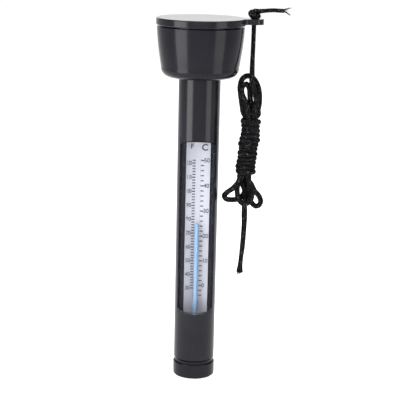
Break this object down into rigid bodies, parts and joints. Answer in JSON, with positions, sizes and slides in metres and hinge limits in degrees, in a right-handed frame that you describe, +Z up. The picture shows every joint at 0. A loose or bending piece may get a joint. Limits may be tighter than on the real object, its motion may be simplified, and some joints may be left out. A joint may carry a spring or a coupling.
{
  "type": "floating pool thermometer",
  "caption": "Upright float thermometer with a windowed tube, a glass stem on a printed scale, a tapered float head and a hanked cord.",
  "frame": {"origin": "middle of the flat face of the foot, on the tube's axis", "axes": "+Z up along the tube, -Y out of the window, +X towards the cord lug"},
  "size_m": [0.0716, 0.048, 0.2064],
  "materials": {
    "black_plastic": "satin to gloss moulded plastic",
    "clear_plastic": "clear, polished",
    "rubber": "matte",
    "steel": "plain bright",
    "foam": "open-cell foam",
    "card": "matte white card, printed black",
    "glass": "clear",
    "spirit": "blue dyed liquid",
    "cord": "braided polypropylene, black"
  },
  "bodies": {
    "thermometer": {"outer_tube": "black_plastic", "tube_top_plug": "black_plastic", "base_cap": "black_plastic", "base_seal": "rubber", "ballast_weight": "steel", "float_bowl": "black_plastic", "float_lid": "black_plastic", "lid_seal": "rubber", "neck_seal": "rubber", "clear_sleeve": "clear_plastic", "sleeve_lower_stopper": "rubber", "sleeve_upper_stopper": "rubber", "bulb_cushion": "foam", "scale_card": "card", "glass_stem": "glass", "spirit_in_bulb": "spirit", "stem_clip_upper": "steel", "stem_clip_lower": "steel", "cord_through_lug": "cord", "cord_knot": "cord", "cord_knot_tail": "cord"},
    "spirit": {"spirit_column": "spirit"},
    "cord": {"cord_hanging": "cord", "cord_hank": "cord", "cord_tail": "cord"}
  },
  "joints": [
    {"name": "spirit_level", "type": "slide", "parent": "thermometer", "child": "spirit", "axis": [0, 0, 1], "range_m": [-0.035, 0.036], "deforming": ["spirit_column"]},
    {"name": "cord_swing", "type": "hinge", "parent": "thermometer", "child": "cord", "pos_m": [0.0283, 0, 0.1954], "axis": [1, 0, 0], "range_deg": [-40, 40]}
  ]
}
